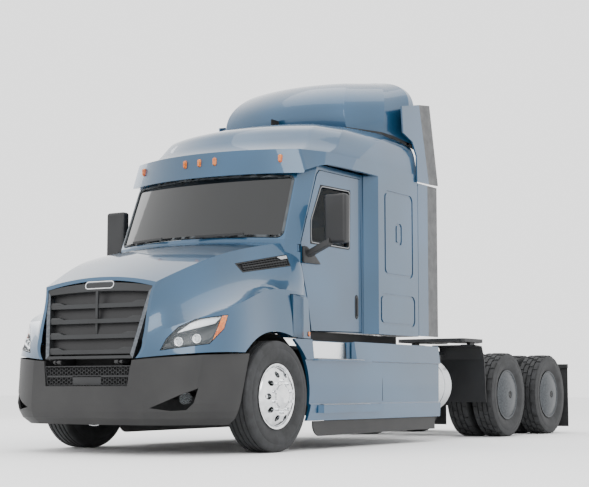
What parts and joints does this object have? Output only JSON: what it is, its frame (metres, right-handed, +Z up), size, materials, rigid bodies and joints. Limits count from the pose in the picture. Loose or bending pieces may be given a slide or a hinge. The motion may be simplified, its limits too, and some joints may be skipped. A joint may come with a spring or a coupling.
{
  "type": "highway tractor unit with mid-roof sleeper cab",
  "caption": "Conventional semi truck tractor with a sleeper cab, tilting hood, hinged doors, steered front wheels, twin-tyred tandem drive axles and a fifth wheel.",
  "frame": {"origin": "on the ground, at the centre of the outline (bounding box) of the vehicle", "axes": "+Z up; -Y towards the nose, so +Y is towards the fifth wheel and tail; +X towards the driver's (left-hand) side"},
  "size_m": [2.968, 8.4278, 3.9999],
  "materials": {
    "chassis_black": "semi-gloss",
    "engine_grey": "matt paint",
    "radiator_alloy": "matt",
    "polished_aluminium": "polished",
    "satin_aluminium": "satin",
    "dark_plastic": "textured",
    "body_paint": "metallic gloss",
    "black_rubber": "matt",
    "grey_rubber": "matt",
    "bumper_plastic": "fine texture",
    "tinted_glass": "clear, tinted",
    "seat_fabric": "woven",
    "dark_metal": "matt",
    "amber_lens": "gloss",
    "cast_steel": "painted",
    "grille_plastic": "satin",
    "lamp_lens": "clear gloss",
    "tyre_rubber": "matt"
  },
  "bodies": {
    "chassis": {"frame_rails": "chassis_black", "crossmembers": "chassis_black", "engine_block": "engine_grey", "radiator": "radiator_alloy", "front_axle": "chassis_black", "suspension": "chassis_black", "drive_axles": "chassis_black", "fuel_tanks": "polished_aluminium", "step_boxes": "dark_plastic", "side_fairings": "body_paint", "fairing_skirts": "black_rubber", "bumper": "bumper_plastic", "bumper_grille": "dark_plastic", "cab_shell": "body_paint", "sleeper_shell": "body_paint", "roof_cap": "body_paint", "roof_fairing": "body_paint", "cab_extenders": "body_paint", "extender_edges": "grey_rubber", "windscreen": "tinted_glass", "dashboard": "dark_plastic", "seats": "seat_fabric", "bunk": "seat_fabric", "wipers": "dark_plastic", "deck_plate": "dark_metal", "quarter_fenders": "dark_plastic", "mud_flaps": "black_rubber", "small_lamps": "amber_lens", "fifth_wheel_base": "cast_steel"},
    "hood": {"hood": "body_paint", "hood_arms": "chassis_black", "grille": "grille_plastic", "headlamps": "lamp_lens", "hood_vents": "dark_plastic"},
    "knuckle_left": {"knuckle_left": "cast_steel"},
    "knuckle_right": {"knuckle_right": "cast_steel"},
    "tie_rod": {"tie_rod": "chassis_black"},
    "fifth_wheel": {"fifth_wheel_plate": "cast_steel"},
    "door_left": {"door_left": "body_paint", "door_window_left": "tinted_glass", "door_fittings_left": "dark_plastic"},
    "wheel_front_left": {"tyre_front_left": "tyre_rubber", "wheel_front_left": "polished_aluminium"},
    "wheels_axle1_left": {"tyres_axle1_left": "tyre_rubber", "wheels_axle1_left": "satin_aluminium"},
    "wheels_axle2_left": {"tyres_axle2_left": "tyre_rubber", "wheels_axle2_left": "satin_aluminium"},
    "door_right": {"door_right": "body_paint", "door_window_right": "tinted_glass", "door_fittings_right": "dark_plastic"},
    "wheel_front_right": {"tyre_front_right": "tyre_rubber", "wheel_front_right": "polished_aluminium"},
    "wheels_axle1_right": {"tyres_axle1_right": "tyre_rubber", "wheels_axle1_right": "satin_aluminium"},
    "wheels_axle2_right": {"tyres_axle2_right": "tyre_rubber", "wheels_axle2_right": "satin_aluminium"}
  },
  "joints": [
    {"name": "hood_tilt", "type": "hinge", "parent": "chassis", "child": "hood", "pos_m": [0, -4.163, 0.812], "axis": [1, 0, 0], "range_deg": [0, 75]},
    {"name": "steer_left", "type": "hinge", "parent": "chassis", "child": "knuckle_left", "pos_m": [0.88, -2.93, 0.508], "axis": [0, 0, 1], "range_deg": [-42, 42]},
    {"name": "steer_right", "type": "hinge", "parent": "chassis", "child": "knuckle_right", "pos_m": [-0.88, -2.93, 0.508], "axis": [0, 0, 1], "range_deg": [-42, 42]},
    {"name": "tie_rod_end", "type": "hinge", "parent": "knuckle_left", "child": "tie_rod", "pos_m": [0.88, -2.7, 0.375], "axis": [0, 0, 1], "range_deg": [-42, 42]},
    {"name": "fifth_wheel_tilt", "type": "hinge", "parent": "chassis", "child": "fifth_wheel", "pos_m": [0, 2.89, 1.12], "axis": [1, 0, 0], "range_deg": [-12, 12]},
    {"name": "door_left", "type": "hinge", "parent": "chassis", "child": "door_left", "pos_m": [1.05, -2.34, 1.8], "axis": [0, 0, 1], "range_deg": [-70, 0]},
    {"name": "spin_front_left", "type": "hinge", "parent": "knuckle_left", "child": "wheel_front_left", "pos_m": [1.08, -2.93, 0.508], "axis": [1, 0, 0], "continuous": true},
    {"name": "spin_axle1_left", "type": "hinge", "parent": "chassis", "child": "wheels_axle1_left", "pos_m": [0.912, 2.23, 0.508], "axis": [1, 0, 0], "continuous": true},
    {"name": "spin_axle2_left", "type": "hinge", "parent": "chassis", "child": "wheels_axle2_left", "pos_m": [0.912, 3.55, 0.508], "axis": [1, 0, 0], "continuous": true},
    {"name": "door_right", "type": "hinge", "parent": "chassis", "child": "door_right", "pos_m": [-1.05, -2.34, 1.8], "axis": [0, 0, 1], "range_deg": [0, 70]},
    {"name": "spin_front_right", "type": "hinge", "parent": "knuckle_right", "child": "wheel_front_right", "pos_m": [-1.08, -2.93, 0.508], "axis": [1, 0, 0], "continuous": true},
    {"name": "spin_axle1_right", "type": "hinge", "parent": "chassis", "child": "wheels_axle1_right", "pos_m": [-0.912, 2.23, 0.508], "axis": [1, 0, 0], "continuous": true},
    {"name": "spin_axle2_right", "type": "hinge", "parent": "chassis", "child": "wheels_axle2_right", "pos_m": [-0.912, 3.55, 0.508], "axis": [1, 0, 0], "continuous": true}
  ],
  "couplings": [
    {"joint": "steer_right", "follows": "steer_left", "ratio": 1},
    {"joint": "tie_rod_end", "follows": "steer_left", "ratio": -1}
  ]
}
